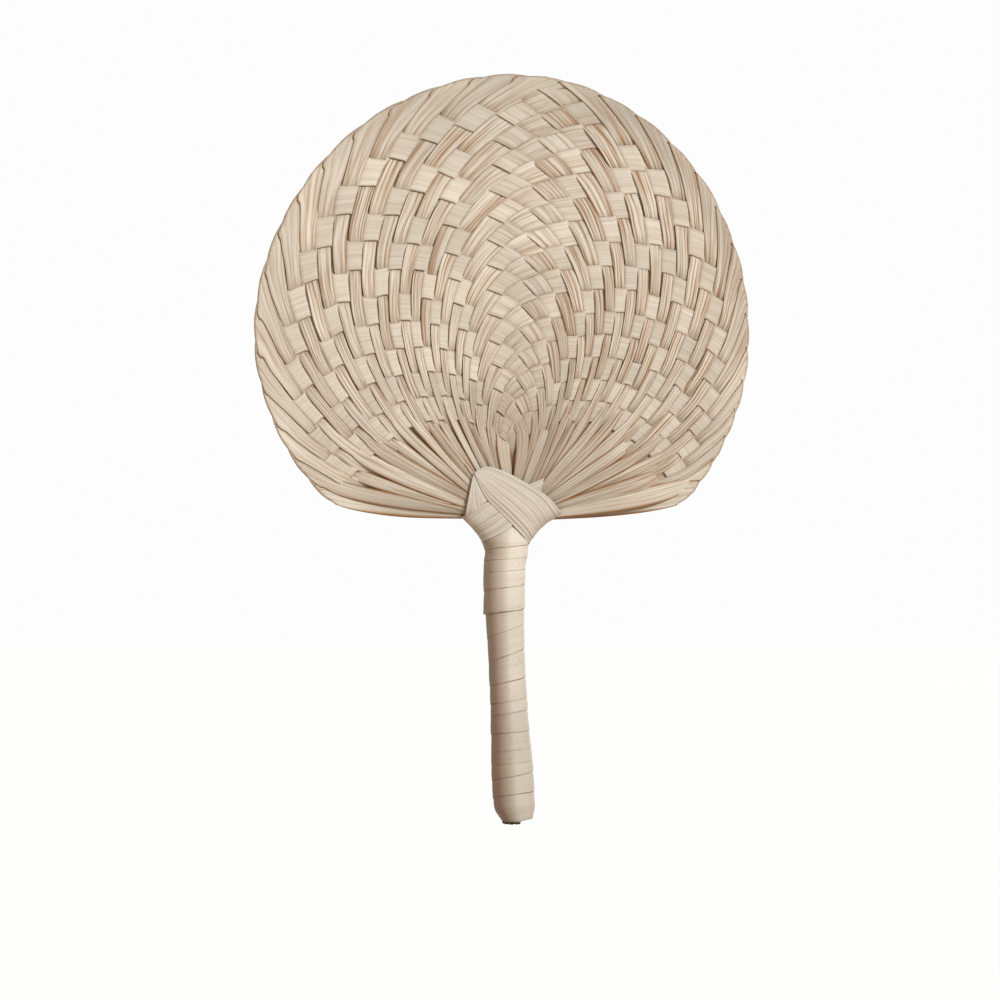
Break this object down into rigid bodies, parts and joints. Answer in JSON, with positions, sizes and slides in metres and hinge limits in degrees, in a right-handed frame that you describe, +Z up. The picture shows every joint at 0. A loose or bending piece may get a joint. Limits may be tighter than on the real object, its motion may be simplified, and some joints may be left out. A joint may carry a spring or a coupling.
{
  "type": "palm leaf fan",
  "caption": "Round hand fan woven in twill from folded palm leaf strips that gather in a banded neck, with a handle wound in leaf.",
  "frame": {"origin": "middle of the hand grip on the handle", "axes": "+Z up along the handle towards the blade's top, the blade's face looks along -Y, +X to the right seen from that face"},
  "size_m": [0.2459, 0.0216, 0.3747],
  "materials": {
    "blade_leaf": "dry palm leaf, satin, with fine lengthwise ribs",
    "core_fibre": "matt brown fibre bundle",
    "wrap_leaf": "smooth satin palm leaf, wound tight",
    "band_leaf": "satin palm leaf with lengthwise ribs"
  },
  "bodies": {
    "root": {"leaf_strip_01": "blade_leaf", "leaf_strip_02": "blade_leaf", "leaf_strip_03": "blade_leaf", "leaf_strip_04": "blade_leaf", "leaf_strip_05": "blade_leaf", "leaf_strip_06": "blade_leaf", "leaf_strip_07": "blade_leaf", "leaf_strip_08": "blade_leaf", "leaf_strip_09": "blade_leaf", "leaf_strip_10": "blade_leaf", "leaf_strip_11": "blade_leaf", "leaf_strip_12": "blade_leaf", "leaf_strip_13": "blade_leaf", "leaf_strip_14": "blade_leaf", "leaf_strip_15": "blade_leaf", "leaf_strip_16": "blade_leaf", "leaf_strip_17": "blade_leaf", "leaf_strip_18": "blade_leaf", "leaf_strip_19": "blade_leaf", "leaf_strip_20": "blade_leaf", "leaf_strip_21": "blade_leaf", "leaf_strip_22": "blade_leaf", "leaf_strip_23": "blade_leaf", "leaf_strip_24": "blade_leaf", "leaf_strip_25": "blade_leaf", "leaf_strip_26": "blade_leaf", "leaf_strip_27": "blade_leaf", "leaf_strip_28": "blade_leaf", "leaf_strip_29": "blade_leaf", "leaf_strip_30": "blade_leaf", "leaf_strip_31": "blade_leaf", "handle_core": "core_fibre", "handle_wrap_upper": "wrap_leaf", "handle_wrap_lower": "wrap_leaf", "neck_band_left": "band_leaf", "neck_band_right": "band_leaf", "neck_side_leaf": "band_leaf"}
  },
  "joints": []
}
